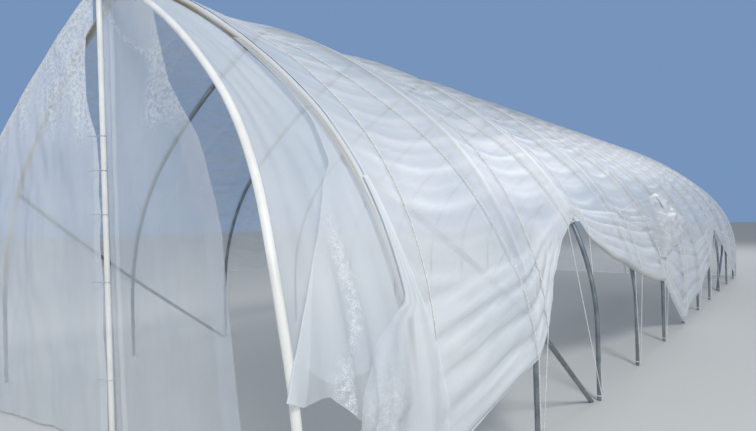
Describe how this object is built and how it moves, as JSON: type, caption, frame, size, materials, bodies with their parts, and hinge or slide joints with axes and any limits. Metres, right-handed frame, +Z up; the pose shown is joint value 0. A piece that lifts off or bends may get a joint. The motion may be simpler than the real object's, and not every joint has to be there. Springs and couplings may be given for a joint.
{
  "type": "polytunnel greenhouse",
  "caption": "Pipe hoop polytunnel with a clear film cover laced down by crossing ropes, leaning end bows, film end panels and a side hem tied up in swags.",
  "frame": {"origin": "on the ground, half way along and half way across the tunnel", "axes": "+X to the right seen from the front end, +Y along the tunnel to its back end, +Z up"},
  "size_m": [4.6636, 13.7287, 3.0777],
  "materials": {
    "galvanised_pipe": "dull galvanised, weathered",
    "white_pipe": "white coated, slightly chalky",
    "cover_film": "translucent polyethylene film, wrinkled",
    "rope": "twisted rope",
    "clip_wire": "bare wire"
  },
  "bodies": {
    "root": {"back_hood_left": "cover_film", "back_hood_right": "cover_film", "back_panel_left": "cover_film", "back_panel_right": "cover_film", "brace_back_left": "galvanised_pipe", "brace_back_right": "galvanised_pipe", "brace_front_left": "galvanised_pipe", "brace_front_right": "galvanised_pipe", "centre_post_back": "white_pipe", "centre_post_front": "white_pipe", "cover_edge_front": "cover_film", "cover_flap": "cover_film", "cover_left_roof": "cover_film", "cover_left_shoulder": "cover_film", "cover_left_wall": "cover_film", "cover_right_roof": "cover_film", "cover_right_shoulder": "cover_film", "cover_right_wall_front": "cover_film", "cover_right_wall_rear": "cover_film", "end_bow_back": "white_pipe", "end_bow_front": "white_pipe", "film_ties": "rope", "front_corner": "cover_film", "front_curtain": "cover_film", "front_door_panel": "cover_film", "front_hood_left": "cover_film", "front_hood_right": "cover_film", "front_panel_left": "cover_film", "ground_posts_left": "galvanised_pipe", "ground_posts_right": "galvanised_pipe", "hold_down_ropes_a": "rope", "hold_down_ropes_b": "rope", "hoop_01": "galvanised_pipe", "hoop_02": "galvanised_pipe", "hoop_03": "galvanised_pipe", "hoop_04": "galvanised_pipe", "hoop_05": "galvanised_pipe", "hoop_06": "galvanised_pipe", "hoop_07": "galvanised_pipe", "hoop_08": "galvanised_pipe", "hoop_09": "galvanised_pipe", "hoop_10": "galvanised_pipe", "hoop_11": "galvanised_pipe", "post_clips": "clip_wire", "rope_ties": "rope"}
  },
  "joints": []
}
